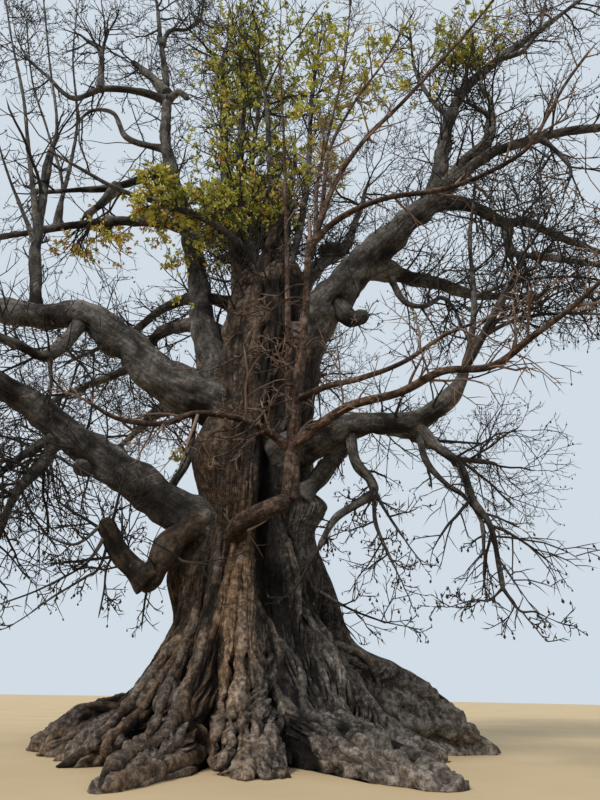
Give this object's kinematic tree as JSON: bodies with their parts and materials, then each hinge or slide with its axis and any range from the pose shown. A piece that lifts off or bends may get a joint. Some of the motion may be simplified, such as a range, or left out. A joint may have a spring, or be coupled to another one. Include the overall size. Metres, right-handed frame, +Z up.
{
  "type": "buttressed baobab tree",
  "caption": "Old, nearly bare tree with a short massive trunk on spreading root buttresses, thick low boughs, an open crown of twigs with hanging pods, and leafy sprays at its top.",
  "frame": {"origin": "middle of the flat cut under the trunk, at ground level", "axes": "+Z up along the trunk; -Y towards the viewer of the picture; +X to that viewer's right"},
  "size_m": [35.2987, 25.2042, 37.5717],
  "materials": {
    "bark": "rough, fissured grey-brown bark, dusty near the ground",
    "red_bark": "smoother pinkish-brown bark with fine rings",
    "pale_bark": "weathered whitish bark of a half-dead limb",
    "twigs": "matt dark twigs with small hanging pods",
    "leaves": "matt yellow-green leaves on reddish twigs"
  },
  "bodies": {
    "root": {"back_left": "bark", "back_left_twigs": "twigs", "back_middle": "bark", "back_middle_twigs": "twigs", "back_right": "bark", "back_right_twigs": "twigs", "back_top": "bark", "back_top_twigs": "twigs", "crown_centre": "bark", "crown_centre_twigs": "twigs", "crown_left": "bark", "crown_left_arm": "bark", "crown_left_arm_twigs": "twigs", "crown_left_twigs": "twigs", "leaf_arm": "red_bark", "leaf_arm_leaves": "leaves", "leaf_stem": "red_bark", "leaf_stem_leaves": "leaves", "left_back_high": "bark", "left_back_high_twigs": "twigs", "left_back_low": "bark", "left_back_low_twigs": "twigs", "left_beam": "bark", "left_beam_twigs": "twigs", "left_beam_upper": "bark", "left_beam_upper_twigs": "twigs", "left_elbow": "bark", "left_elbow_arm": "bark", "left_high": "bark", "left_high_fork": "bark", "left_high_twigs": "twigs", "left_low": "bark", "left_low_fork": "bark", "left_low_twigs": "twigs", "left_riser": "bark", "left_riser_twigs": "twigs", "red_arm": "red_bark", "red_arm_twigs": "twigs", "red_bridge": "red_bark", "red_climber": "red_bark", "red_climber_leaves": "leaves", "red_stem": "red_bark", "right_back": "bark", "right_back_twigs": "twigs", "right_drop": "bark", "right_drop_low": "bark", "right_drop_low_twigs": "twigs", "right_drop_twigs": "twigs", "right_great": "bark", "right_great_twigs": "twigs", "right_great_up": "bark", "right_hang": "bark", "right_long": "bark", "right_long_twigs": "twigs", "right_low": "bark", "right_low_twigs": "twigs", "right_pale": "pale_bark", "right_under": "bark", "right_under_twigs": "twigs", "trunk": "bark"}
  },
  "joints": []
}
